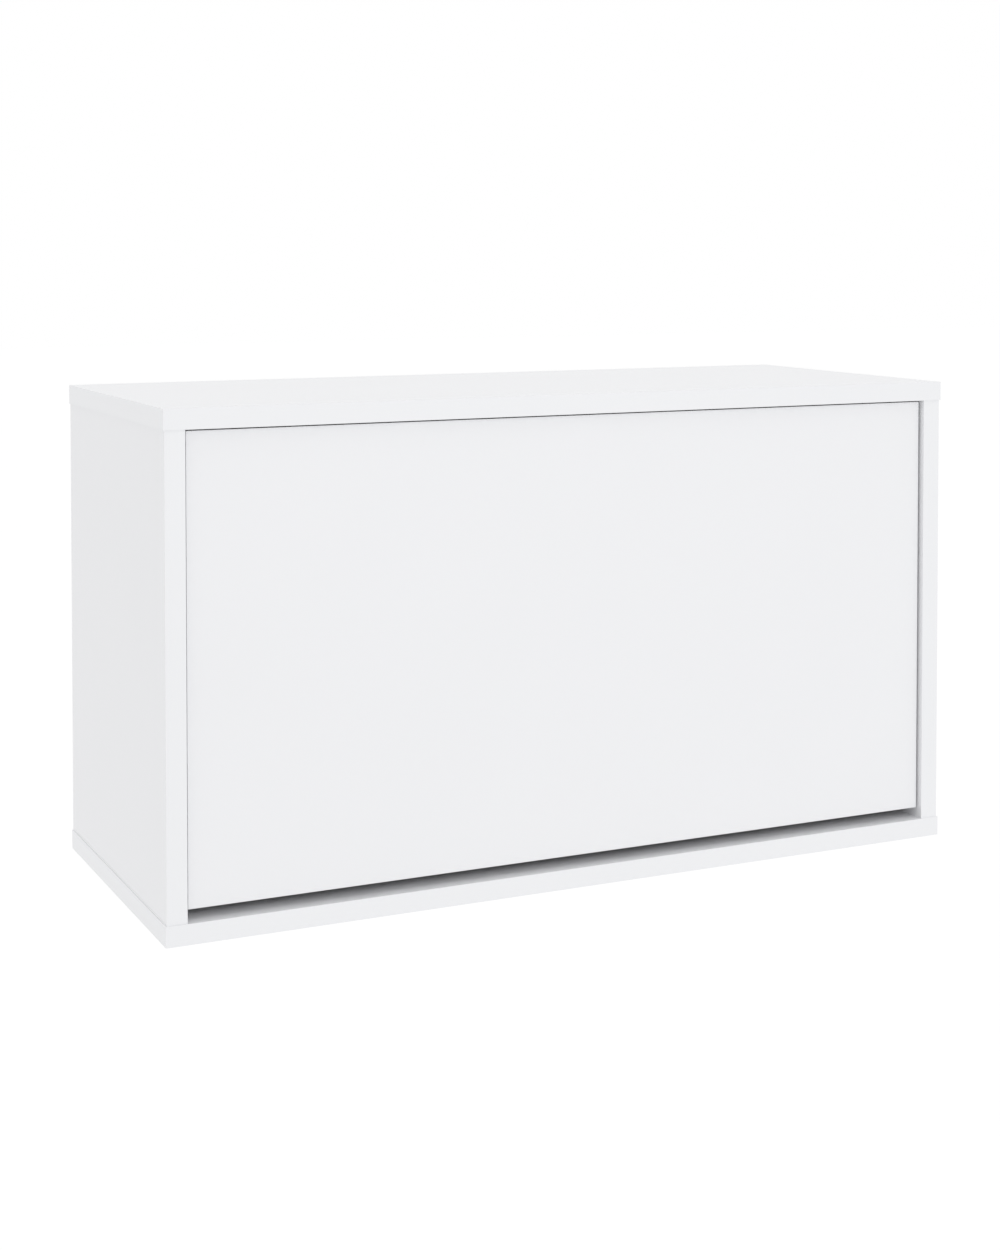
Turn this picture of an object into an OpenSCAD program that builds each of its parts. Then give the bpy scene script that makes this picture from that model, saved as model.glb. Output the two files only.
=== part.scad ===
// Hanging wall cabinet with one lift-up flap.
// Millimetres, +Z up. The wall is the plane y = 0 and the front faces -Y.
// The origin is the middle of the four wall screw holes, on the wall.

/* [Cabinet] */
// Overall width, across the ends of the top board
cabinet_w = 700; // [560:10:900]
// Overall height
cabinet_h = 400; // [320:10:520]
// Overall depth, from the wall to the front of the top board
cabinet_d = 285; // [235:5:400]
// Thickness of the top, bottom and side boards
board_t = 16; // [15:0.5:22]
// How far the ends of the top and bottom stand out past the sides
end_overhang = 1; // [0.5:0.5:3]
// How far the fronts of the top and bottom stand out past the sides
front_overhang = 1; // [0.5:0.5:3]
// Thickness of the edging strips
edging_t = 1; // [0.6:0.1:1.4]

/* [Back] */
// Thickness of the back panel
back_t = 3; // [3:0.5:5]
// Distance from the wall to the back panel
back_inset = 16; // [12:1:22]
// Depth of the groove that holds the back panel
groove_d = 6; // [4:0.5:7]

/* [Flap] */
// Thickness of the flap
flap_t = 16; // [14:0.5:20]
// How far the flap lies behind the front edges of the sides
flap_recess = 5; // [0:0.5:8]
// Gap between the flap and each side
flap_side_gap = 2; // [1.5:0.1:4]
// Gap between the flap and the top board
flap_top_gap = 1.5; // [1.2:0.1:2.5]
// Gap under the flap, where fingers reach in
finger_gap = 9; // [6:0.5:30]

/* [Pivots] */
// Distance from the flap's front face to its pivot
pivot_back = 5; // [4.6:0.1:6]
// Diameter of the pivot pins
pin_d = 5; // [4:0.5:6]
// Outer diameter of the bushes that the pins turn in
bush_d = 8; // [7.5:0.5:9]
// Depth of the bushes in the sides
bush_depth = 11; // [8:0.5:12]

/* [Friction stays] */
// Distance behind and below the flap's pivot at which the stay arm turns
arm_back = 70; // [60:5:90]
arm_down = 60; // [50:5:80]
// Distance from the flap's pivot down to the link's pin
link_down = 100; // [80:5:130]
// How far the link's pin stands behind the flap
link_stand = 9; // [8.5:0.5:14]
// Thickness of the arms, links and bracket ears
stay_t = 3; // [2:0.5:4]
// Radius of the drum that holds the friction discs
drum_r = 22; // [20:1:26]
// Diameter of the rivets
rivet_d = 5; // [4:0.5:6]

/* [Hangers] */
// Width, depth and height of a hanger housing
hanger_w = 20; // [18:1:24]
hanger_d = 50; // [46:1:60]
hanger_h = 58; // [56:1:70]
// Thickness of the steel hooks
hook_t = 3; // [2:0.5:4]
// How far the cabinet can be screwed down and up on its hooks
adjust_down = 3; // [1:1:4]
adjust_up = 6; // [2:1:8]
// Width of a wall plate
plate_w = 60; // [40:5:80]
// Thickness of the wall plates
plate_t = 2; // [2:0.5:3]
// Diameter of the wall screw holes and their spacing up the plate
wall_hole_d = 6.5; // [5:0.5:8]
wall_hole_gap = 20; // [18:1:24]

/* [Fittings] */
// Distance from the wall to the rear and from the front to the front cam locks
cam_rear = 90; // [85:5:100]
cam_front = 50; // [45:5:60]
// Distance from the joint to the middle of a cam lock
cam_in = 24; // [22:1:34]
// Diameter and depth of a cam lock
cam_d = 15; // [12:1:15]
cam_t = 12.5; // [11:0.5:13]
// Diameter and length of the dowels
dowel_d = 8; // [6:1:8]
dowel_l = 30; // [25:1:35]
// Diameter of the screws
screw_d = 4; // [3:0.5:4.5]

/* [Hidden] */
$fn = 48;

// Clearances: a pressed or glued piece, a turning pin, the flap's sweep, the opened link pivot
fit = 0.05;
run = 0.05;
sweep_clear = 0.3;
link_play = 0.3;
// Clearance between flat pieces that slide past each other
slide = 0.3;
// How far a cut runs past the face that it opens
eps = 0.5;

// Levels of the wall plate and hook
plate_low = wall_hole_gap / 2 + 12;
plate_flat = wall_hole_gap / 2 + 8;
lip_gap = 4;
lip_h = 12;
lip_top = plate_flat + plate_t + lip_h;
hook_h = 20;
hook_low = lip_top - hook_h / 2;
hook_top = lip_top + hook_h / 2;
hook_reach = 45;
hook_clear = 1;
hanger_wall = 2;
hanger_top = hook_top + adjust_down + hook_clear + hanger_wall;
hanger_low = hanger_top - hanger_h;
hanger_head = 4;
hanger_margin = 9;

// Faces of the carcass
top_under = hanger_top + hanger_head;
top_z = top_under + board_t;
bottom_z = top_z - cabinet_h;
floor_z = bottom_z + board_t;
half_w = cabinet_w / 2;
outer_x = half_w - end_overhang;
inner_x = outer_x - board_t;
front_y = -cabinet_d;
side_front = front_y + front_overhang;
back_rear = -back_inset;
back_front = back_rear - back_t;
groove_clear = 0.2;

// Faces of the flap
flap_front = side_front + flap_recess;
flap_rear = flap_front + flap_t;
flap_top = top_under - flap_top_gap;
flap_low = floor_z + finger_gap;
flap_x = inner_x - flap_side_gap;

// The pivot lies low enough for the flap's front corner to clear the top board
sweep = flap_top_gap - sweep_clear;
pivot_down = (pivot_back * pivot_back - sweep * sweep) / (2 * sweep);
pivot = [flap_front + pivot_back, flap_top - pivot_down];
ear_t = 1.5;
ear_r = pivot_back - 1;
leaf_t = 2;
leaf_w = 30;
leaf_h = 44;
leaf_drop = 3;
leaf_margin = 10;
pin_l = bush_depth - 1;

// Pivots of a stay, as [y, z]. The arm stays parallel to the line from the
// flap's pivot to the link's pin, so the arm turns as far as the flap does.
link_pin = [flap_rear + link_stand, pivot[1] - link_down];
arm_pivot = pivot + [arm_back, -arm_down];
arm_pin = arm_pivot + link_pin - pivot;

// Layers of a stay, counted inwards from the side's inner face
base_t = 2.5;
drum_w = 11.5;
drum_bore_r = drum_r - 3;
arm_x = base_t + drum_w + slide;
link_x = arm_x + stay_t + slide;
rivet_head_t = 1.3;
rivet_head_d = rivet_d + 4;
shaft_d = 8;
sleeve_r = 7;
sleeve_flat = 10;
pad_t = 1.5;
disc_gap = 0.1;
disc_count = 3;
hub_r = 15;
arm_tip_r = 8;
link_r = 7;
tail = [62, 0];
tail_r = 16;
rim = 1;
cover_at = drum_r + rim + tail_r;
cover_hold = 8.5;

// Screws: a pan head, and the depth they reach into a board
head_r = screw_d;
head_t = 2.4;
head_slot = 1.2 * head_r;
head_slot_w = 1;
head_slot_d = 1.2;
screw_depth = 11;

// Flap stops
stop_w = 12;
stop_d = 14;
stop_h = 34;
stop_up = 30;
bumper_t = 2;
bumper_r = 4;
bumper_gap = 0.2;
stop_front = flap_rear + bumper_gap + bumper_t;

// Cam bolts: thread, head and bore; the eccentric lies a little below the surface
bolt_d = 5;
bolt_thread = 11;
bolt_end = 2;
bolt_head_l = 4;
bolt_head_d = 6.8;
bolt_neck_d = 4.5;
bolt_bore_d = 7.2;
cam_sink = 1.2;
cap_t = 1;
cap_rim = 1;
cam_ys = [front_y + cam_front, -cam_rear];
dowel_ys = [cam_ys[0] + 40, cam_ys[1] + 45];

// Cross slots, as [length, width, total cut along the axis]
cam_slot = [9, 1.6, 2];
adjuster_slot = [4, 1.2, 3];

// Colours
board_white = "#eeeff2";
back_white = "#e6e6e4";
zinc = "#b9bcc0";
steel = "#9a9da1";
fitting_grey = "#c9cbce";
fitting_white = "#f2f2f2";
beech = "#d9b98a";
pad_black = "#3b3b3d";
clear_rubber = "#dfe6ea";

// ---------- Shared shapes ----------

// Places children on the left or right side: x counts inwards from its inner face
module on_left() { translate([-inner_x, 0, 0]) children(); }
module on_right() { mirror([1, 0, 0]) on_left() children(); }
module on_both() {
    on_left() children();
    on_right() children();
}

// Extrudes a flat [y, z] outline along +X, from x0 over thickness t
module plate_yz(x0, t) {
    translate([x0, 0, 0]) rotate([90, 0, 90]) linear_extrude(t) children();
}

// Cylinders along each axis, starting at p and running the positive way
module rod_x(p, d, l) { translate(p) rotate([0, 90, 0]) cylinder(d = d, h = l); }
module rod_y(p, d, l) { translate(p) rotate([-90, 0, 0]) cylinder(d = d, h = l); }
module rod_z(p, d, l) { translate(p) cylinder(d = d, h = l); }

// Box between two corners
module block(low, high) { translate(low) cube(high - low); }

// Flat bar between two round ends, whose straight edges tuck just inside the rounds
module bar(x0, t, a, b, ra, rb) {
    tuck = 0.02;
    along = b - a;
    gap = norm(along);
    turn = atan2(along[1], along[0]);
    lean = acos((ra - rb) / gap);
    up = [cos(turn + lean), sin(turn + lean)];
    down = [cos(turn - lean), sin(turn - lean)];
    rod_x([x0, a[0], a[1]], 2 * ra, t);
    rod_x([x0, b[0], b[1]], 2 * rb, t);
    plate_yz(x0, t) polygon([
        a + (ra - tuck) * up, b + (rb - tuck) * up,
        b + (rb - tuck) * down, a + (ra - tuck) * down
    ]);
}

// Cross slot to cut into a head that faces along X
module cross_slot(slot) {
    for (size = [[slot[2], slot[0], slot[1]], [slot[2], slot[1], slot[0]]]) cube(size, center = true);
}

// Pan-head screw: the head stands on z = 0 and the shank runs down
module screw(l) {
    difference() {
        union() {
            cylinder(r = head_r, h = head_t);
            translate([0, 0, -l]) cylinder(d = screw_d, h = l);
        }
        for (turn = [0, 90])
            rotate([0, 0, turn]) translate([-head_slot / 2, -head_slot_w / 2, head_t - head_slot_d])
                cube([head_slot, head_slot_w, head_t]);
    }
}

// Screws driven along -X into a side, or along -Y into the flap, with the head at p
module screw_to_side(p, l) { translate(p) rotate([0, 90, 0]) screw(l); }
module screw_to_flap(p, l) { translate(p) rotate([-90, 0, 0]) screw(l); }

// ---------- Positions of the fasteners ----------

stay_screw_at = [for (p = [tail, [cover_at, cover_hold], [cover_at, -cover_hold]]) arm_pivot + p];
stop_screw_at = [for (s = [-1, 1]) [stop_front + stop_d / 2, floor_z + stop_up + stop_h / 2 + s * stop_h / 4]];
hanger_front = back_front - hanger_d;
hanger_screw_at = [[hanger_front + 14, hook_low - 5], [hanger_front + 37, hanger_low + hanger_margin]];
leaf_screw_at = [for (s = [1, 3]) [flap_side_gap + leaf_w - leaf_margin, flap_top - leaf_drop - s * leaf_h / 4]];
bracket_x = 4;
bracket_w = arm_x + stay_t - bracket_x;
bracket_h = 44;
bracket_pitch = 30;
bracket_screw_at = [for (s = [-1, 1]) [bracket_x + head_r + 1, link_pin[1] + s * bracket_pitch / 2]];

// ---------- Carcass ----------

// Bores and groove in a horizontal board, as seen from the joint plane z = 0 upwards
module board_bores() {
    for (s = [-1, 1], y = cam_ys)
        rod_z([s * (inner_x + board_t / 2), y, -eps], bolt_d + 2 * fit, bolt_thread + eps);
    for (s = [-1, 1], y = dowel_ys)
        rod_z([s * (inner_x + board_t / 2), y, -eps], dowel_d + 2 * fit, dowel_l / 3 + fit + eps);
    block([-inner_x - groove_d, back_front - groove_clear, -eps],
        [inner_x + groove_d, back_rear + groove_clear, groove_d]);
}

module horizontal_board() {
    difference() {
        block([-half_w + edging_t, front_y + edging_t, 0], [half_w - edging_t, 0, board_t]);
        board_bores();
    }
}

module horizontal_edging() {
    block([-half_w, front_y, 0], [half_w, front_y + edging_t, board_t]);
    for (s = [-1, 1])
        block([s > 0 ? half_w - edging_t : -half_w, front_y + edging_t, 0],
            [s > 0 ? half_w : -half_w + edging_t, 0, board_t]);
}

module as_top() { translate([0, 0, top_under]) children(); }
module as_bottom() { translate([0, 0, floor_z]) mirror([0, 0, 1]) children(); }

module top_panel() { color(board_white) as_top() horizontal_board(); }
module top_edging() { color(board_white) as_top() horizontal_edging(); }
module bottom_panel() { color(board_white) as_bottom() horizontal_board(); }
module bottom_edging() { color(board_white) as_bottom() horizontal_edging(); }

// Runs its children at the top joint and, mirrored, at the bottom joint of a side
module at_joints() {
    translate([0, 0, top_under]) children();
    translate([0, 0, floor_z]) mirror([0, 0, 1]) children();
}

module side_board() {
    difference() {
        block([-board_t, side_front + edging_t, floor_z], [0, 0, top_under]);
        at_joints() {
            for (y = cam_ys) {
                rod_x([-cam_t - fit, y, -cam_in], cam_d + 2 * fit, cam_t + fit + eps);
                rod_z([-board_t / 2, y, -cam_in], bolt_bore_d, cam_in + eps);
            }
            for (y = dowel_ys)
                rod_z([-board_t / 2, y, -dowel_l * 2 / 3 - fit], dowel_d + 2 * fit, dowel_l);
        }
        rod_x([-bush_depth - fit, pivot[0], pivot[1]], bush_d + 2 * fit, bush_depth + fit + eps);
        block([-groove_d, back_front - groove_clear, floor_z - eps],
            [eps, back_rear + groove_clear, top_under + eps]);
        for (p = concat(stay_screw_at, stop_screw_at, hanger_screw_at))
            rod_x([-screw_depth - 1, p[0], p[1]], screw_d + 2 * fit, screw_depth + 1 + eps);
    }
}

module side_edging() {
    block([-board_t, side_front, floor_z], [0, side_front + edging_t, top_under]);
}

module left_side() { color(board_white) on_left() side_board(); }
module right_side() { color(board_white) on_right() side_board(); }
module left_side_edging() { color(board_white) on_left() side_edging(); }
module right_side_edging() { color(board_white) on_right() side_edging(); }

module back_panel() {
    reach = groove_d - eps;
    color(back_white) difference() {
        block([-inner_x - reach, back_front, floor_z - reach], [inner_x + reach, back_rear, top_under + reach]);
        on_both() hook_passage();
    }
}

// ---------- Cam locks and dowels ----------

module cam_lock() {
    difference() {
        rod_x([-cam_t, 0, 0], cam_d, cam_t - cam_sink);
        rod_z([-board_t / 2, 0, -bolt_end], bolt_bore_d, cam_d);
        translate([-cam_sink, 0, 0]) cross_slot(cam_slot);
    }
}

module cam_bolt() {
    neck_low = bolt_end + bolt_head_l - cam_in;
    rod_z([0, 0, 0], bolt_d, bolt_thread - fit);
    rod_z([0, 0, neck_low], bolt_neck_d, -neck_low);
    rod_z([0, 0, neck_low - bolt_head_l], bolt_head_d, bolt_head_l);
}

module at_cams() {
    on_both() at_joints() for (y = cam_ys) translate([0, y, -cam_in]) children();
}

module cam_locks() { color(zinc) at_cams() cam_lock(); }
module cam_bolts() { color(steel) at_cams() translate([-board_t / 2, 0, cam_in]) cam_bolt(); }
module cam_caps() {
    color(fitting_white) at_cams() {
        rod_x([0, 0, 0], cam_d + 2 * cap_rim, cap_t);
        rod_x([-cap_t, 0, 0], cam_d - 2 * groove_clear, cap_t);
    }
}
module dowels() {
    color(beech) on_both() at_joints() for (y = dowel_ys)
        rod_z([-board_t / 2, y, -dowel_l * 2 / 3], dowel_d, dowel_l);
}

// ---------- Pivot bushes ----------

module pivot_bush() {
    flange_t = 0.8;
    difference() {
        union() {
            rod_x([-bush_depth, pivot[0], pivot[1]], bush_d, bush_depth);
            rod_x([0, pivot[0], pivot[1]], bush_d + 2, flange_t);
        }
        rod_x([-bush_depth - eps, pivot[0], pivot[1]], pin_d + 2 * run, bush_depth + flange_t + 2 * eps);
    }
}
module left_pivot_bush() { color(fitting_grey) on_left() pivot_bush(); }
module right_pivot_bush() { color(fitting_grey) on_right() pivot_bush(); }

// ---------- Hangers ----------

hook_x = (hanger_w - hook_t) / 2;
cover_x = hanger_w - hanger_wall;
height_screw_z = hanger_low + hanger_wall + hanger_margin;
depth_screw_z = lip_top;
adjuster_d = 6;
boss_wall = 2;
boss_l = 14;
rib_t = 3;
rib_ys = [back_front - 21, back_front - 8];
rib_extra = 4;

// The opening that a hook passes through, with room for the height adjustment
module hook_passage() {
    block([hook_x - slide, back_front - hanger_wall - eps, hook_low - adjust_up - hook_clear],
        [hook_x + hook_t + slide, back_rear + eps, hook_top + adjust_down + hook_clear]);
}

module hanger_rib(x0, x1, y) {
    block([x0, y, hook_low - adjust_up - rib_extra], [x1, y + rib_t, hook_top + adjust_down + hook_clear]);
}

module hanger_housing() {
    difference() {
        union() {
            difference() {
                block([0, hanger_front, hanger_low], [cover_x, back_front, hanger_top]);
                block([hanger_wall, hanger_front + hanger_wall, hanger_low + hanger_wall],
                    [cover_x + eps, back_front - hanger_wall, hanger_top - hanger_wall]);
            }
            for (z = [height_screw_z, depth_screw_z])
                rod_y([hanger_w / 2, hanger_front, z], adjuster_d + 2 * boss_wall, boss_l);
            for (y = rib_ys) hanger_rib(hanger_wall, hook_x - slide, y);
        }
        for (z = [height_screw_z, depth_screw_z])
            rod_y([hanger_w / 2, hanger_front - eps, z], adjuster_d + 2 * fit, boss_l + 2 * eps);
        hook_passage();
        for (p = hanger_screw_at) rod_x([-eps, p[0], p[1]], screw_d + 2 * fit, hanger_wall + 2 * eps);
    }
}

module hanger_cover() {
    block([cover_x, hanger_front, hanger_low], [hanger_w, back_front, hanger_top]);
    for (y = rib_ys) hanger_rib(hook_x + hook_t + slide, cover_x, y);
}

// A steel hook that passes the back panel and hooks over the wall plate's lip
module hook() {
    play = 0.4;
    front = -hook_reach;
    lip_front = -lip_gap - plate_t;
    tongue_rear = -1;
    plate_yz(hook_x, hook_t) polygon([
        [front, hook_low], [lip_front - play, hook_low], [lip_front - play, lip_top],
        [-lip_gap + play, lip_top], [-lip_gap + play, hook_low], [tongue_rear, hook_low],
        [tongue_rear, hook_top], [front, hook_top]
    ]);
}

// Wall plate with its upper edge stepped forward to make the lip
module wall_plate() {
    side_gap = 3;
    lip_front = -lip_gap - plate_t;
    difference() {
        translate([side_gap, 0, 0]) plate_yz(0, plate_w) polygon([
            [0, -plate_low], [0, plate_flat + plate_t], [-lip_gap, plate_flat + plate_t],
            [-lip_gap, lip_top], [lip_front, lip_top], [lip_front, plate_flat],
            [-plate_t, plate_flat], [-plate_t, -plate_low]
        ]);
        for (s = [-1, 1])
            rod_y([side_gap + plate_w / 2, -plate_t - eps, s * wall_hole_gap / 2], wall_hole_d, plate_t + 2 * eps);
    }
}

// Adjusting screw, turned from the front of the housing
module adjuster(z, l) {
    head_out = 1.5;
    difference() {
        rod_y([hanger_w / 2, hanger_front - head_out, z], adjuster_d, l + head_out);
        translate([hanger_w / 2, hanger_front - head_out, z]) rotate([0, 0, 90]) cross_slot(adjuster_slot);
    }
}

module left_hanger_housing() { color(fitting_grey) on_left() hanger_housing(); }
module right_hanger_housing() { color(fitting_grey) on_right() hanger_housing(); }
module left_hanger_cover() { color(fitting_white) on_left() hanger_cover(); }
module right_hanger_cover() { color(fitting_white) on_right() hanger_cover(); }
module left_hook() { color(zinc) on_left() hook(); }
module right_hook() { color(zinc) on_right() hook(); }
module left_wall_plate() { color(zinc) on_left() wall_plate(); }
module right_wall_plate() { color(zinc) on_right() wall_plate(); }
module hanger_fixing_screws() {
    color(steel) on_both() for (p = hanger_screw_at) screw_to_side([hanger_wall, p[0], p[1]], screw_depth);
}
module hanger_height_screws() { color(steel) on_both() adjuster(height_screw_z, boss_l + 2 * boss_wall); }
module hanger_depth_screws() {
    color(steel) on_both() adjuster(depth_screw_z, -hook_reach - slide - hanger_front);
}

// ---------- Friction stays ----------

module stay_base() {
    difference() {
        union() {
            bar(0, base_t, arm_pivot, arm_pivot + tail, drum_r + rim, tail_r);
            plate_yz(base_t, drum_w) difference() {
                translate(arm_pivot) circle(r = drum_r);
                translate(arm_pivot) circle(r = drum_bore_r);
            }
        }
        rod_x([-eps, arm_pivot[0], arm_pivot[1]], shaft_d + 2 * fit, base_t + 2 * eps);
        for (p = stay_screw_at) rod_x([-eps, p[0], p[1]], screw_d + 2 * fit, base_t + 2 * eps);
    }
}

// Cap over the tail of the base and its screws
module stay_cover() {
    wall = 1.5;
    near = arm_pivot + [cover_at, 0];
    tip = arm_pivot + tail;
    cover_r = tail_r - 0.5;
    difference() {
        bar(base_t, drum_w - 0.5, near, tip, cover_r, cover_r);
        bar(base_t - eps, drum_w - 0.5 - wall + eps, near, tip, cover_r - wall, cover_r - wall);
    }
}

// Shaft with a socket head that clamps the discs
module stay_shaft() {
    head_x = arm_x + stay_t + slide;
    shaft_head_t = 2.6;
    socket_d = 5;
    difference() {
        union() {
            rod_x([0.2, arm_pivot[0], arm_pivot[1]], shaft_d, head_x);
            rod_x([head_x, arm_pivot[0], arm_pivot[1]], 2 * shaft_d, shaft_head_t);
        }
        translate([head_x, arm_pivot[0], arm_pivot[1]]) rotate([0, 90, 0])
            cylinder(d = socket_d, h = 2 * shaft_head_t, $fn = 6);
    }
}

// Outline of the arm's sleeve, which turns the discs by its two flats
module sleeve(grow) {
    intersection() {
        circle(r = sleeve_r + grow);
        square([4 * sleeve_r, sleeve_flat + 2 * grow], center = true);
    }
}

disc_step = 2 * (pad_t + disc_gap);

module friction_pads() {
    for (i = [0 : disc_count - 1])
        plate_yz(base_t + disc_gap + i * disc_step, pad_t) translate(arm_pivot) difference() {
            circle(r = drum_bore_r - 2 * fit);
            circle(r = sleeve_r + 1);
        }
}

module friction_discs() {
    for (i = [0 : disc_count - 1])
        plate_yz(base_t + 2 * disc_gap + pad_t + i * disc_step, pad_t) translate(arm_pivot) difference() {
            circle(r = drum_bore_r - slide);
            sleeve(fit);
        }
}

module stay_arm() {
    difference() {
        union() {
            bar(arm_x, stay_t, arm_pivot, arm_pin, hub_r, arm_tip_r);
            plate_yz(base_t + slide, arm_x - base_t - slide) translate(arm_pivot) sleeve(0);
        }
        rod_x([0, arm_pivot[0], arm_pivot[1]], shaft_d + 2 * run, arm_x + stay_t + eps);
        rod_x([0, arm_pin[0], arm_pin[1]], rivet_d + 2 * fit, arm_x + stay_t + eps);
    }
}

module stay_link() {
    difference() {
        bar(link_x, stay_t, arm_pin, link_pin, link_r, link_r);
        rod_x([link_x - eps, arm_pin[0], arm_pin[1]], rivet_d + 2 * run, stay_t + 2 * eps);
        rod_x([link_x - eps, link_pin[0], link_pin[1]], rivet_d + 2 * link_play, stay_t + 2 * eps);
    }
}

// Rivet through the inner end of an arm or bracket ear and through the link
module rivet(at) {
    inner_head_x = link_x + stay_t + slide;
    rod_x([arm_x - rivet_head_t, at[0], at[1]], rivet_d, inner_head_x - arm_x + 2 * rivet_head_t);
    rod_x([arm_x - rivet_head_t, at[0], at[1]], rivet_head_d, rivet_head_t);
    rod_x([inner_head_x, at[0], at[1]], rivet_head_d, rivet_head_t);
}

module left_stay_base() { color(zinc) on_left() stay_base(); }
module right_stay_base() { color(zinc) on_right() stay_base(); }
module left_stay_cover() { color(fitting_white) on_left() stay_cover(); }
module right_stay_cover() { color(fitting_white) on_right() stay_cover(); }
module left_stay_shaft() { color(steel) on_left() stay_shaft(); }
module right_stay_shaft() { color(steel) on_right() stay_shaft(); }
module left_friction_pads() { color(pad_black) on_left() friction_pads(); }
module right_friction_pads() { color(pad_black) on_right() friction_pads(); }
module left_friction_discs() { color(steel) on_left() friction_discs(); }
module right_friction_discs() { color(steel) on_right() friction_discs(); }
module stay_screws() {
    color(steel) on_both() for (p = stay_screw_at) screw_to_side([base_t, p[0], p[1]], screw_depth);
}
module left_stay_arm() { color(zinc) on_left() stay_arm(); }
module right_stay_arm() { color(zinc) on_right() stay_arm(); }
module left_arm_rivet() { color(steel) on_left() rivet(arm_pin); }
module right_arm_rivet() { color(steel) on_right() rivet(arm_pin); }
module left_stay_link() { color(zinc) on_left() stay_link(); }
module right_stay_link() { color(zinc) on_right() stay_link(); }

// ---------- Flap stops ----------

module flap_stop() {
    low = floor_z + stop_up;
    difference() {
        block([0, stop_front, low], [stop_w, stop_front + stop_d, low + stop_h]);
        for (p = stop_screw_at) {
            rod_x([-eps, p[0], p[1]], screw_d + 2 * fit, stop_w + 2 * eps);
            rod_x([stop_w / 2, p[0], p[1]], 2 * head_r + 1, stop_w);
        }
    }
}

module left_flap_stop() { color(fitting_white) on_left() flap_stop(); }
module right_flap_stop() { color(fitting_white) on_right() flap_stop(); }
module flap_bumpers() {
    color(clear_rubber) on_both()
        rod_y([stop_w / 2 + 1, stop_front - bumper_t, floor_z + stop_up + stop_h / 2], 2 * bumper_r, bumper_t);
}
module flap_stop_screws() {
    color(steel) on_both() for (p = stop_screw_at) screw_to_side([stop_w / 2, p[0], p[1]], screw_depth);
}

// ---------- Flap ----------

// Shape of a pivot hinge's ear, which wraps the end of the flap, with a clearance round it
module ear_outline(grow) {
    translate(pivot) circle(r = ear_r + grow);
    translate([pivot[0], pivot[1] - ear_r - grow]) square([flap_rear - pivot[0], 2 * (ear_r + grow)]);
}

module ear_pockets() {
    on_both() plate_yz(flap_side_gap - eps, ear_t + eps) {
        ear_outline(groove_clear);
        translate([flap_rear - eps, pivot[1] - ear_r - groove_clear]) square([2 * eps, 2 * (ear_r + groove_clear)]);
    }
}

module flap_panel() {
    color(board_white) difference() {
        block([-flap_x + edging_t, flap_front, flap_low + edging_t], [flap_x - edging_t, flap_rear, flap_top - edging_t]);
        ear_pockets();
        on_both() for (p = concat(leaf_screw_at, bracket_screw_at))
            rod_y([p[0], flap_rear - screw_depth, p[1]], screw_d + 2 * fit, screw_depth + eps);
    }
}

module flap_edging() {
    color(board_white) difference() {
        union() {
            for (z = [flap_low, flap_top - edging_t])
                block([-flap_x, flap_front, z], [flap_x, flap_rear, z + edging_t]);
            for (x = [-flap_x, flap_x - edging_t])
                block([x, flap_front, flap_low + edging_t], [x + edging_t, flap_rear, flap_top - edging_t]);
        }
        ear_pockets();
    }
}

// Angle plate on the rear of the flap, with an ear and a pin at its end
module pivot_hinge() {
    x0 = flap_side_gap;
    leaf_top = flap_top - leaf_drop;
    difference() {
        union() {
            block([x0, flap_rear, leaf_top - leaf_h], [x0 + leaf_w, flap_rear + leaf_t, leaf_top]);
            plate_yz(x0, ear_t) ear_outline(0);
            rod_x([-pin_l, pivot[0], pivot[1]], pin_d, pin_l + x0 + ear_t / 2);
        }
        for (p = leaf_screw_at)
            rod_y([p[0], flap_rear - eps, p[1]], screw_d + 2 * fit, leaf_t + 2 * eps);
    }
}

module flap_bracket() {
    difference() {
        union() {
            block([bracket_x, flap_rear, link_pin[1] - bracket_h / 2],
                [bracket_x + bracket_w, flap_rear + leaf_t, link_pin[1] + bracket_h / 2]);
            plate_yz(arm_x, stay_t) {
                translate(link_pin) circle(r = arm_tip_r);
                translate([flap_rear, link_pin[1] - arm_tip_r]) square([link_stand, 2 * arm_tip_r]);
            }
        }
        rod_x([arm_x - eps, link_pin[0], link_pin[1]], rivet_d + 2 * fit, stay_t + 2 * eps);
        for (p = bracket_screw_at)
            rod_y([p[0], flap_rear - eps, p[1]], screw_d + 2 * fit, leaf_t + 2 * eps);
    }
}

module left_pivot_hinge() { color(zinc) on_left() pivot_hinge(); }
module right_pivot_hinge() { color(zinc) on_right() pivot_hinge(); }
module pivot_hinge_screws() {
    color(steel) on_both() for (p = leaf_screw_at)
        screw_to_flap([p[0], flap_rear + leaf_t, p[1]], screw_depth);
}
module left_flap_bracket() { color(zinc) on_left() flap_bracket(); }
module right_flap_bracket() { color(zinc) on_right() flap_bracket(); }
module flap_bracket_screws() {
    color(steel) on_both() for (p = bracket_screw_at)
        screw_to_flap([p[0], flap_rear + leaf_t, p[1]], screw_depth);
}
module left_link_rivet() { color(steel) on_left() rivet(link_pin); }
module right_link_rivet() { color(steel) on_right() rivet(link_pin); }

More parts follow.
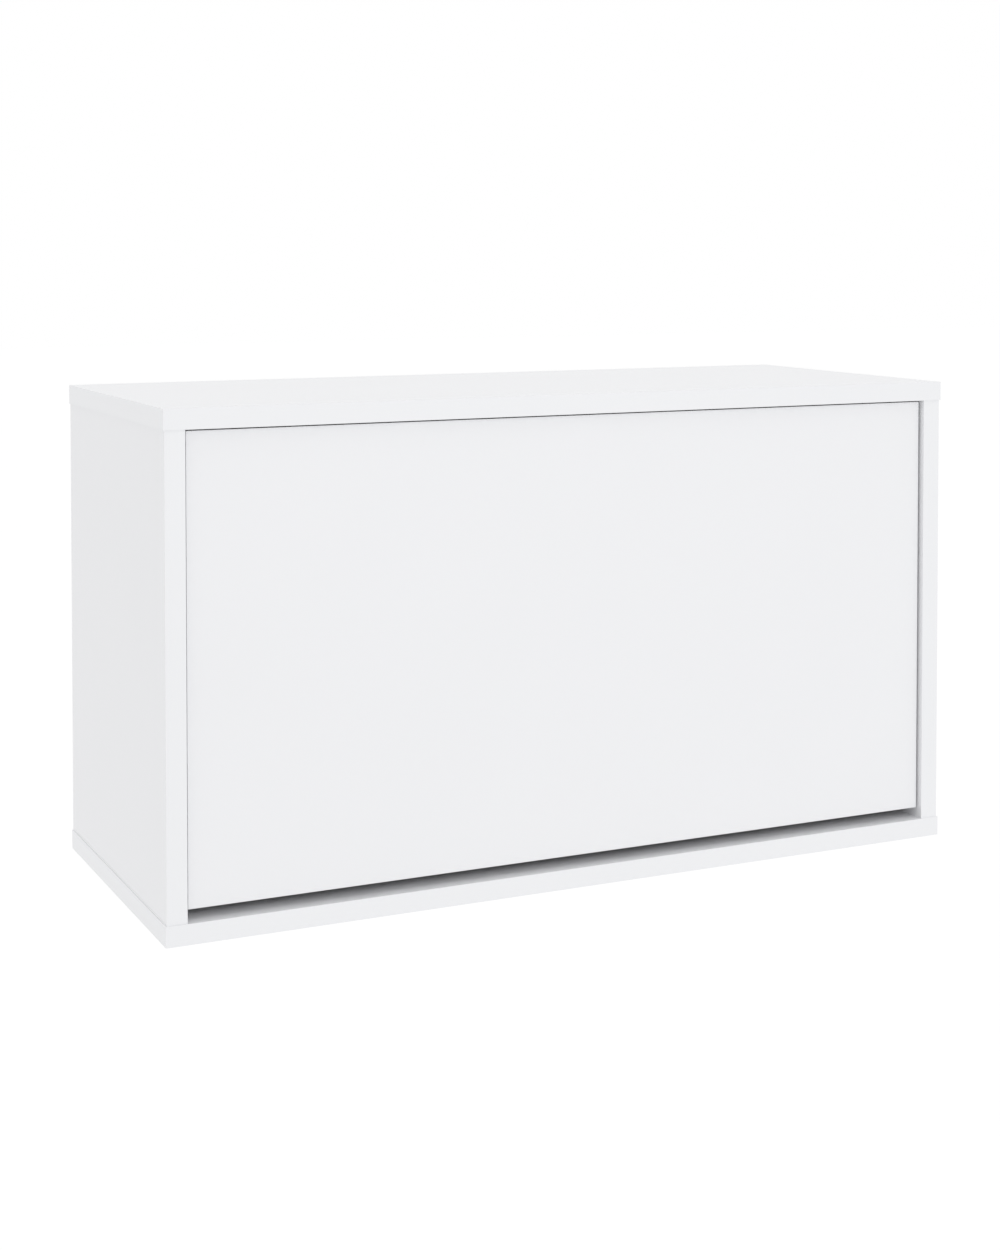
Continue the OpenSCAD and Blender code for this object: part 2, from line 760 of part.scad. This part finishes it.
top_panel();
top_edging();
bottom_panel();
bottom_edging();
left_side();
right_side();
left_side_edging();
right_side_edging();
back_panel();
cam_locks();
cam_bolts();
cam_caps();
dowels();
left_pivot_bush();
right_pivot_bush();
left_hanger_housing();
right_hanger_housing();
left_hanger_cover();
right_hanger_cover();
hanger_fixing_screws();
hanger_height_screws();
hanger_depth_screws();
left_hook();
right_hook();
left_wall_plate();
right_wall_plate();
left_stay_base();
right_stay_base();
left_stay_cover();
right_stay_cover();
left_stay_shaft();
right_stay_shaft();
left_friction_pads();
right_friction_pads();
left_friction_discs();
right_friction_discs();
stay_screws();
left_stay_arm();
right_stay_arm();
left_arm_rivet();
right_arm_rivet();
left_stay_link();
right_stay_link();
left_flap_stop();
right_flap_stop();
flap_bumpers();
flap_stop_screws();
flap_panel();
flap_edging();
left_pivot_hinge();
right_pivot_hinge();
pivot_hinge_screws();
left_flap_bracket();
right_flap_bracket();
flap_bracket_screws();
left_link_rivet();
right_link_rivet();
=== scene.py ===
# %% [markdown]
# # A hanging wall cabinet
# The real cabinet is a box of white melamine-faced chipboard that hangs on the wall. One flap
# covers its front and swings up on two pivots, held by a friction stay at each side. The
# construction is already there as exact parts, so this lesson is about finishes: how a plain
# white object is made to look like what it is, with its facing, edging strips, raw board edges,
# castings, plated steel and moulded plastic, and how it is lit so that white stays readable
# against white.

# %% Load the parts
import math

import bmesh
import bpy
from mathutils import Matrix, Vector


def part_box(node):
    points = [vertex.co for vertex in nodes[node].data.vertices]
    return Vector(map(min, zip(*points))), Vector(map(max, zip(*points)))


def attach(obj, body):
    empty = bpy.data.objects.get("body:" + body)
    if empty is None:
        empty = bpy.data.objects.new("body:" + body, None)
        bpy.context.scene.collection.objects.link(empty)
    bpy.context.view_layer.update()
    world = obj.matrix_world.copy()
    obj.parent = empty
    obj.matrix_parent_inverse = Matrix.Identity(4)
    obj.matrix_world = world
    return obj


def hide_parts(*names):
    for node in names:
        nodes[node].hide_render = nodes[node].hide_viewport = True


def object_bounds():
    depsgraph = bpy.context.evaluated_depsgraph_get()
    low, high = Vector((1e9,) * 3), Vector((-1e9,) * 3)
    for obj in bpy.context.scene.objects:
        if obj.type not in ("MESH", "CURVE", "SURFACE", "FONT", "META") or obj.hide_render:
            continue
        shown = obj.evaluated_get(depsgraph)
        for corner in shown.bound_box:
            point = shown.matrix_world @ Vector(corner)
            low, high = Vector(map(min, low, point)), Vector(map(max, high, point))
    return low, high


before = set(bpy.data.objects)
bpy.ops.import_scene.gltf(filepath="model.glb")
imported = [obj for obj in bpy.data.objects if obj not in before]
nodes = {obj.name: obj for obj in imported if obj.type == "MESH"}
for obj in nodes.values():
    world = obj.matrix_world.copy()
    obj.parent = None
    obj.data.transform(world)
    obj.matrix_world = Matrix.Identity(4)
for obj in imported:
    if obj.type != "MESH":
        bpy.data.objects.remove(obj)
cad_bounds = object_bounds()

# %% [markdown]
# Everything is measured in metres from the middle of the four wall screws: X to the right, Y
# into the wall, Z up. The few sizes that the finishes need are read from the parts themselves,
# so they stay right if the cabinet changes.

# %% Sizes read from the parts
MM = 0.001
low, high = (Vector(corner) for corner in cad_bounds)
centre = (low + high) / 2
print("cabinet", [round(side / MM) for side in high - low], "mm")

# %% [markdown]
# ## Arithmetic on shader sockets
# A procedural finish is a formula. Wiring a formula by hand takes dozens of nodes, so one small
# class wraps a socket and gives it Python's operators: each adds the Math node that it needs.
# Colours and vectors go through Mix and Vector Math nodes instead, because a Math node would
# turn a colour grey. Any other node comes from one method that takes its type, its settings and
# what goes into its sockets.

# %% A socket that can be used in expressions
class Value:
    """A socket of one finish, with arithmetic."""

    def __init__(self, finish, socket):
        self.finish = finish
        self.socket = socket

    def _math(self, operation, *inputs):
        settings = {"operation": operation}
        return self.finish.node("ShaderNodeMath", settings, dict(enumerate(inputs)))

    def __add__(self, other):
        return self._math("ADD", self, other)

    def __sub__(self, other):
        return self._math("SUBTRACT", self, other)

    def __rsub__(self, other):
        return self._math("SUBTRACT", other, self)

    def __mul__(self, other):
        return self._math("MULTIPLY", self, other)

    def __gt__(self, other):
        return self._math("GREATER_THAN", self, other)

    def __lt__(self, other):
        return self._math("LESS_THAN", self, other)

    def __abs__(self):
        return self._math("ABSOLUTE", self)

    __radd__ = __add__
    __rmul__ = __mul__


# %% [markdown]
# A finish is a material with its Principled shader and the few sources that the formulas start
# from: the place on the part, noise and cells. Sizes are given in millimetres, as the size of
# one feature, because that is how a finish is described. The Mix node has one set of sockets
# for each kind of data and they share their names, so its colour sockets are found by number.

# %% A finish and its sources
MIX_FACTOR, MIX_A, MIX_B, MIX_COLOUR = 0, 6, 7, 2


def rgb(red, green, blue):
    """A colour with the alpha that colour sockets want."""
    return (red, green, blue, 1.0)


class Finish:
    """One procedural material, built by expressions."""

    def __init__(self, name, **constants):
        self.material = bpy.data.materials.new(name)
        self.material.use_nodes = True
        self.tree = self.material.node_tree
        self.shader = self.tree.nodes["Principled BSDF"]
        self.set(**constants)
        self.place = self.node("ShaderNodeTexCoord", output="Object")

    def node(self, kind, settings=None, inputs=None, output=0):
        """Adds a node; settings come first, then each socket gets a link or a value."""
        added = self.tree.nodes.new(kind)
        for key, setting in (settings or {}).items():
            if key == "stops":
                self._set_stops(added.color_ramp.elements, setting)
            else:
                setattr(added, key, setting)
        for key, given in (inputs or {}).items():
            if isinstance(given, Value):
                self.tree.links.new(given.socket, added.inputs[key])
            else:
                added.inputs[key].default_value = given
        return Value(self, added.outputs[output])

    @staticmethod
    def _set_stops(elements, stops):
        while len(elements) < len(stops):
            elements.new(1.0)
        for element, (position, colour) in zip(elements, stops):
            element.position = position
            element.color = colour

    def set(self, **sockets):
        """Sets or links the shader's sockets; an underscore stands for a space."""
        for name, given in sockets.items():
            socket = self.shader.inputs[name.replace("_", " ")]
            if isinstance(given, Value):
                self.tree.links.new(given.socket, socket)
            else:
                socket.default_value = given

    def along(self, axis):
        """The place on the part along one axis, from 0 for X to 2 for Z."""
        return self.node("ShaderNodeSeparateXYZ", None, {0: self.place}, output=axis)

    def stretched(self, scale):
        """The place on the part, with each axis multiplied."""
        inputs = {0: self.place, 1: scale}
        return self.node("ShaderNodeVectorMath", {"operation": "MULTIPLY"}, inputs)

    def noise(self, size_mm, detail=2.0, stretch=(1, 1, 1)):
        """Soft noise from 0 to 1, with features of that size."""
        inputs = {"Vector": self.stretched(stretch), "Scale": 1 / (size_mm * MM), "Detail": detail}
        return self.node("ShaderNodeTexNoise", None, inputs)

    def cells(self, size_mm, stretch=(1, 1, 1), output="Distance"):
        """Cells of that size: the distance to the middle of each, or its own colour."""
        inputs = {"Vector": self.stretched(stretch), "Scale": 1 / (size_mm * MM)}
        return self.node("ShaderNodeTexVoronoi", None, inputs, output=output)

    def mix(self, factor, first, second):
        """A colour between two colours."""
        inputs = {MIX_FACTOR: factor, MIX_A: first, MIX_B: second}
        return self.node("ShaderNodeMix", {"data_type": "RGBA"}, inputs, output=MIX_COLOUR)

    def ramp(self, factor, *stops):
        """A colour from stops of position and colour."""
        return self.node("ShaderNodeValToRGB", {"stops": stops}, {"Fac": factor}, output="Color")

    def relief(self, height_mm):
        """Raises the surface by a height in millimetres."""
        inputs = {"Distance": MM, "Height": height_mm}
        self.set(Normal=self.node("ShaderNodeBump", None, inputs, output="Normal"))

    def paint(self, *names):
        """Gives the finish to these parts or pieces."""
        for name in names:
            piece = nodes.get(name) or bpy.data.objects[name]
            if not piece.material_slots:
                piece.data.materials.append(None)
            for slot in piece.material_slots:
                slot.material = self.material
        print(f"{self.material.name}: {len(self.tree.nodes)} nodes, on {len(names)} parts")


# %% [markdown]
# ## White boards
# The boards are chipboard with a thin white facing on both large sides. The facing is satin, not
# glossy: its press plate leaves a pebble so fine that it only softens the reflections, and over
# a hand's width the tone wanders by about one part in a hundred. Everywhere else, on the
# sawn rear edges, in the bores and in the groove, the chips show. One mask says which is which:
# a point is on the facing if it lies on one of the board's two large planes, to within a skin of
# a few hundredths of a millimetre. The chips are pressed flat, so they are stretched along the
# board and squeezed across it.

# %% Chipboard with its facing
FACING_LIGHT = rgb(0.862, 0.866, 0.882)
FACING_DARK = rgb(0.852, 0.856, 0.872)
CHIP_MM = 1.6
ALONG_CHIP = 0.4
ACROSS_CHIP = 1.6
SKIN = 0.05 * MM


def chip_colour(finish, flat):
    """Pressed chips: long flakes of several browns, with fine dust between them."""
    chips = finish.cells(CHIP_MM, stretch=flat, output="Color")
    tone = finish.node("ShaderNodeSeparateXYZ", None, {0: chips})
    wood = finish.ramp(tone, (0.0, rgb(0.27, 0.165, 0.085)), (0.35, rgb(0.46, 0.31, 0.18)),
                       (0.7, rgb(0.60, 0.44, 0.28)), (1.0, rgb(0.72, 0.58, 0.40)))
    return finish.mix(finish.noise(0.7, 3.0) * 0.5, wood, rgb(0.50, 0.36, 0.22))


def faced_board(name, axis):
    """Finish of a board whose large sides face along an axis."""
    start, end = (corner[axis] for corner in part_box(name))
    finish = Finish(f"faced_{name}", Specular_IOR_Level=0.45)
    middle, half = (start + end) / 2, (end - start) / 2
    facing = abs(finish.along(axis) - middle) > half - SKIN
    flat = [ALONG_CHIP, ALONG_CHIP, ALONG_CHIP]
    flat[axis] = ACROSS_CHIP
    white = finish.mix(finish.noise(90, 3.0), FACING_DARK, FACING_LIGHT)
    pebble = finish.noise(0.45, 1.0)
    chips = finish.cells(CHIP_MM, stretch=flat) + finish.noise(0.6)
    finish.set(Base_Color=finish.mix(facing, chip_colour(finish, flat), white),
               Roughness=facing * (finish.noise(7, 3.0) * 0.07 + 0.33) + (1 - facing) * 0.85)
    finish.relief(facing * pebble * 0.004 + (1 - facing) * chips * 0.12)
    finish.paint(name)


BOARD_AXES = {"top_panel": 2, "bottom_panel": 2, "left_side": 0, "right_side": 0, "flap_panel": 1}
for board, facing_axis in BOARD_AXES.items():
    faced_board(board, facing_axis)

# %% [markdown]
# ## Edging strips
# Edging is a strip of solid plastic glued to the board's edge and trimmed flush. It matches the
# facing but isn't the same stuff: it is a touch smoother, and the trimming knife leaves its two
# long corners eased by a tenth of a millimetre. That tiny round catches light along every
# edge, and where it meets the facing it leaves the hairline by which one tells a real edge from
# a painted one. A Bevel modifier makes it without touching the part's own mesh.

# %% Eased corners
SHARPER_THAN = math.radians(35)


def ease(names, radius_mm, segments=3):
    """Rounds the sharp corners of parts by a small radius."""
    for name in names:
        bevel = nodes[name].modifiers.new("eased", "BEVEL")
        bevel.width = radius_mm * MM
        bevel.segments = segments
        bevel.limit_method = "ANGLE"
        bevel.angle_limit = SHARPER_THAN
    print(f"eased {len(names)} parts by {radius_mm} mm")


edging_names = [name for name in nodes if name.endswith("_edging")]
edging = Finish("white_edging", Specular_IOR_Level=0.5)
strip_white = edging.mix(edging.noise(120, 2.0), rgb(0.850, 0.856, 0.872), rgb(0.858, 0.864, 0.880))
edging.set(Base_Color=strip_white, Roughness=edging.noise(3, 3.0) * 0.08 + 0.28)
edging.relief(edging.noise(0.6) * 0.003)
edging.paint(*edging_names)
ease(edging_names, 0.12)

# %% [markdown]
# ## Back panel
# The back is thin hardboard, lacquered white on the inside only. Its rear is bare: brown, a bit
# shiny from the press, and mottled by fibre. The same trick as on the boards tells the sides
# apart, this time by which plane along Y the point lies on.

# %% Hardboard, lacquered on one side
hardboard = Finish("hardboard", Specular_IOR_Level=0.4)
panel_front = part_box("back_panel")[0].y
inside = hardboard.along(1) < panel_front + SKIN
fibre = hardboard.noise(2.5, 5.0, stretch=(1, 1, 0.6)) * 0.6 + hardboard.noise(35, 2.0) * 0.4
brown = hardboard.ramp(fibre, (0.3, rgb(0.20, 0.115, 0.058)), (0.5, rgb(0.29, 0.175, 0.095)),
                       (0.7, rgb(0.37, 0.24, 0.14)))
lacquer = hardboard.mix(hardboard.noise(60), rgb(0.80, 0.80, 0.79), rgb(0.83, 0.83, 0.82))
hardboard.set(Base_Color=hardboard.mix(inside, brown, lacquer),
              Roughness=inside * -0.15 + hardboard.noise(4) * 0.12 + 0.5)
hardboard.relief(hardboard.noise(0.9, 3.0) * (0.03 - inside * 0.02))
hardboard.paint("back_panel")

# %% [markdown]
# ## Metal
# Two metals are used. The castings, which are the hanger housings, stay drums and cam locks, have
# the grey, slightly grainy skin of zinc from a die. The bent and turned parts are steel with a
# bright zinc plating: bluish, and brushed up and down. Metal shows little but what it
# mirrors, so its roughness varies more than its colour does. A punched sheet and a casting have
# eased edges too, so they get the Bevel modifier as well.

# %% Cast zinc and plated steel
housings = [name for name in nodes if name.endswith(("_hanger_housing", "_stay_base"))]
zinc = Finish("cast_zinc", Metallic=1.0)
zinc.set(Base_Color=zinc.mix(zinc.noise(6, 3.0), rgb(0.50, 0.51, 0.53), rgb(0.62, 0.63, 0.65)),
         Roughness=zinc.noise(1.5, 3.0) * 0.2 + 0.36)
zinc.relief(zinc.noise(0.8, 2.0) * 0.02)
zinc.paint(*housings, "cam_locks")
ease(housings, 0.4)

sheet_ends = ("_hook", "_wall_plate", "_arm", "_link", "_hinge", "_bracket")
turned_ends = ("_shaft", "_discs", "_rivet", "_screws")
sheet_names = [name for name in nodes if name.endswith(sheet_ends)]
turned_names = [name for name in nodes if name.endswith(turned_ends)] + ["cam_bolts"]
steel = Finish("plated_steel", Metallic=1.0)
brushed = steel.noise(0.5, 3.0, stretch=(1, 1, 0.04))
steel.set(Base_Color=steel.mix(steel.noise(18, 3.0), rgb(0.60, 0.62, 0.66), rgb(0.70, 0.71, 0.71)),
          Roughness=brushed * 0.16 + steel.noise(9) * 0.08 + 0.2)
steel.relief(brushed * 0.006)
steel.paint(*sheet_names, *turned_names)
ease(sheet_names, 0.25, 2)

# %% [markdown]
# ## Plastic, nylon and friction lining
# Moulded covers have the fine sand grain of a spark-eroded mould, which kills their shine. The
# bushes are natural grey nylon, smoother and a little waxy. The friction pads are pressed fibre
# in a dark resin, so they are matt with paler specks.

# %% Mouldings and pads
moulded = Finish("moulded_white", Specular_IOR_Level=0.45)
moulded.set(Base_Color=moulded.mix(moulded.noise(20), rgb(0.79, 0.79, 0.775), rgb(0.82, 0.82, 0.81)),
            Roughness=moulded.noise(0.4, 2.0) * 0.15 + 0.45)
moulded.relief(moulded.noise(0.3, 2.0) * 0.012)
moulded_names = [name for name in nodes if name.endswith(("_cover", "_stop"))]
moulded.paint(*moulded_names, "cam_caps")
ease(moulded_names, 0.6)
ease(["cam_caps"], 0.3, 2)

nylon = Finish("grey_nylon")
nylon.set(Base_Color=nylon.mix(nylon.noise(5), rgb(0.52, 0.53, 0.54), rgb(0.60, 0.61, 0.61)),
          Roughness=nylon.noise(1.0) * 0.1 + 0.35)
nylon.paint("left_pivot_bush", "right_pivot_bush")

lining = Finish("friction_lining")
specks = lining.cells(0.6) < 0.25
lining.set(Base_Color=lining.mix(specks, rgb(0.05, 0.05, 0.052), rgb(0.18, 0.16, 0.13)),
           Roughness=lining.noise(1.0) * 0.1 + 0.8)
lining.paint("left_friction_pads", "right_friction_pads")

# %% [markdown]
# ## Dowels
# Beech dowels show only when the cabinet is taken apart, but they are there. Their grain runs
# along them, so the noise is stretched along Z, and short dark flecks are what make it beech.

# %% Beech
beech = Finish("beech", Specular_IOR_Level=0.3)
grain = beech.noise(1.2, 3.0, stretch=(1, 1, 0.08))
flecks = beech.noise(0.5, 1.0, stretch=(1, 1, 0.25)) > 0.62
wood = beech.mix(grain, rgb(0.55, 0.36, 0.2), rgb(0.72, 0.52, 0.33))
beech.set(Base_Color=beech.mix(flecks * 0.5, wood, rgb(0.34, 0.19, 0.1)),
          Roughness=grain * 0.1 + 0.6)
beech.relief(grain * 0.05)
beech.paint("dowels")

# %% [markdown]
# ## Bumpers
# The flap closes on two soft clear bumpers. The real ones are low domes of cast silicone, so a
# profile is turned about the Y axis: a flat foot, a short wall and a quarter of an ellipse. Each
# keeps to the room of the plain disc that stands for it.

# %% Two turned domes
RING_POINTS = 48
DOME_STEPS = 10
DOME_WALL = 0.35


def turned_bumper(name, foot, radius, height):
    """A dome that stands on its foot and points towards -Y."""
    profile = [(radius, 0.0), (radius, DOME_WALL * height)]
    for step in range(1, DOME_STEPS):
        angle = math.pi / 2 * step / DOME_STEPS
        rise = DOME_WALL + (1 - DOME_WALL) * math.sin(angle)
        profile.append((radius * math.cos(angle), height * rise))
    mesh = bmesh.new()
    rings = []
    for reach, out in profile:
        ring = []
        for point in range(RING_POINTS):
            turn = 2 * math.pi * point / RING_POINTS
            spot = Vector((reach * math.cos(turn), -out, reach * math.sin(turn)))
            ring.append(mesh.verts.new(foot + spot))
        rings.append(ring)
    tip = mesh.verts.new(foot + Vector((0, -height, 0)))
    for inner, outer in zip(rings[1:], rings):
        for i in range(RING_POINTS):
            mesh.faces.new((outer[i - 1], outer[i], inner[i], inner[i - 1]))
    for i in range(RING_POINTS):
        mesh.faces.new((rings[-1][i - 1], rings[-1][i], tip))
    mesh.faces.new(rings[0])
    bmesh.ops.recalc_face_normals(mesh, faces=mesh.faces)
    data = bpy.data.meshes.new(name)
    mesh.to_mesh(data)
    mesh.free()
    data.shade_smooth()
    piece = bpy.data.objects.new(name, data)
    bpy.context.scene.collection.objects.link(piece)
    print(name, len(data.vertices), "points")
    return piece


disc_low, disc_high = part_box("flap_bumpers")
bumper_radius = (disc_high.z - disc_low.z) / 2
bumper_x = {"left_bumper": disc_low.x + bumper_radius, "right_bumper": disc_high.x - bumper_radius}
bumpers = []
for bumper_name, x in bumper_x.items():
    foot = Vector((x, disc_high.y, disc_low.z + bumper_radius))
    bumpers.append(turned_bumper(bumper_name, foot, bumper_radius, disc_high.y - disc_low.y))

# %% [markdown]
# Silicone lets most light through but is never quite clear, so the finish is part glass and part
# milky white, with the sheen of a soft skin. Both domes ride on the cabinet and stand for the
# plain discs.

# %% Clear silicone
silicone = Finish("clear_silicone", Transmission_Weight=0.6, IOR=1.41)
silicone.set(Base_Color=silicone.mix(silicone.noise(3), rgb(0.82, 0.85, 0.87), rgb(0.90, 0.92, 0.93)),
             Roughness=silicone.noise(1.0) * 0.1 + 0.15)
for bumper in bumpers:
    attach(bumper, "cabinet")
    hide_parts("flap_bumpers")
silicone.paint(*bumper_x)

# %% [markdown]
# ## Floor and light
# White on white needs soft light from everywhere, or the edges vanish into hard shadows. The
# world gives that: it lights the object a little below full strength, but what looks straight
# at it, in the picture or in a reflection, sees plain white. A large lamp from the front right
# lifts the front and a smaller one the top, so that the left side stays a shade darker.

# %% World
WORLD_LIGHT = 0.9


def white_to_eyes(tree, strength):
    """A strength of 1 for what is seen or mirrored, and another for light on the object."""
    path = tree.nodes.new("ShaderNodeLightPath")
    seen = path.outputs["Is Camera Ray"]
    for name in ("Is Glossy Ray", "Is Transmission Ray"):
        either = tree.nodes.new("ShaderNodeMath")
        either.operation = "MAXIMUM"
        tree.links.new(seen, either.inputs[0])
        tree.links.new(path.outputs[name], either.inputs[1])
        seen = either.outputs[0]
    blend = tree.nodes.new("ShaderNodeMapRange")
    blend.inputs["To Min"].default_value = strength
    blend.inputs["To Max"].default_value = 1.0
    tree.links.new(seen, blend.inputs["Value"])
    return blend.outputs[0]


world = bpy.data.worlds.new("studio")
bpy.context.scene.world = world
world.use_nodes = True
background = world.node_tree.nodes["Background"]
background.inputs["Color"].default_value = rgb(1.0, 1.0, 1.0)
world_strength = white_to_eyes(world.node_tree, WORLD_LIGHT)
world.node_tree.links.new(world_strength, background.inputs["Strength"])
print("world", WORLD_LIGHT, "on the object")

# %% [markdown]
# Both lamps are squares as large as a studio's soft box. Their size matters more than their
# power: a small lamp would draw hard lines under the overhang of the top board.

# %% Lamps
def soft_lamp(name, position, size, power):
    """A square lamp, with its side in metres and its power in watts, aimed at the cabinet."""
    lamp = bpy.data.lights.new(name, "AREA")
    lamp.size = size
    lamp.energy = power
    holder = bpy.data.objects.new(name, lamp)
    holder.location = position
    holder.rotation_euler = (centre - position).to_track_quat("-Z", "Y").to_euler()
    bpy.context.scene.collection.objects.link(holder)
    print(name, "at", [round(v, 2) for v in position])


soft_lamp("front_lamp", centre + Vector((0.9, -3.4, 0.8)), 2.5, 14.0)
soft_lamp("top_lamp", centre + Vector((-0.2, -0.6, 3.0)), 2.0, 4.5)

# %% [markdown]
# The cabinet hangs, so the floor is well below it and takes only the faintest shadow. It is a
# plain pale plane, lifted to white by a little glow that is seen and mirrored but lights nothing.

# %% Floor
FLOOR_DROP = 1.1
FLOOR_SIZE = 60.0
FLOOR_GLOW = 0.16

floor_mesh = bpy.data.meshes.new("floor")
half_floor = FLOOR_SIZE / 2
floor_level = low.z - FLOOR_DROP
corner_signs = [(-1, -1), (1, -1), (1, 1), (-1, 1)]
corners = [(a * half_floor, b * half_floor, floor_level) for a, b in corner_signs]
floor_mesh.from_pydata(corners, [], [(0, 1, 2, 3)])
floor = bpy.data.objects.new("floor", floor_mesh)
bpy.context.scene.collection.objects.link(floor)

ground = Finish("pale_floor", Roughness=1.0, Specular_IOR_Level=0.0, Emission_Strength=1.0)
eyes = ground.node("ShaderNodeLightPath", output="Is Camera Ray")
mirrors = ground.node("ShaderNodeLightPath", output="Is Glossy Ray")
glass = ground.node("ShaderNodeLightPath", output="Is Transmission Ray")
ground.set(Base_Color=ground.mix(ground.noise(400), rgb(0.93, 0.93, 0.93), rgb(0.95, 0.95, 0.95)),
           Emission_Color=ground.mix(eyes + mirrors + glass, rgb(0.0, 0.0, 0.0),
                                     rgb(FLOOR_GLOW, FLOOR_GLOW, FLOOR_GLOW)))
ground.paint("floor")

# %% [markdown]
# ## Camera
# The camera stands to the left of the cabinet, a little above it, and looks slightly down. Its
# picture plane is shifted so that the uprights stay nearly upright, as an architect's view does.

# %% Camera
LENS_MM = 60.309
PICTURE_SHIFT = -0.25
CAMERA_AT = (-0.7814, -1.7750, 0.1905)
LOOK_DOWN = 1.936
LOOK_RIGHT = 25.308

camera_data = bpy.data.cameras.new("camera")
camera_data.lens = LENS_MM
camera_data.shift_y = PICTURE_SHIFT
camera_data.clip_end = 200.0  # metres, past the far edge of the floor
camera = bpy.data.objects.new("camera", camera_data)
camera.location = CAMERA_AT
camera.rotation_euler = (math.radians(90 - LOOK_DOWN), 0.0, math.radians(-LOOK_RIGHT))
bpy.context.scene.collection.objects.link(camera)
bpy.context.scene.camera = camera
bpy.context.scene.view_settings.view_transform = "Standard"
print("camera", camera_data.lens, "mm")
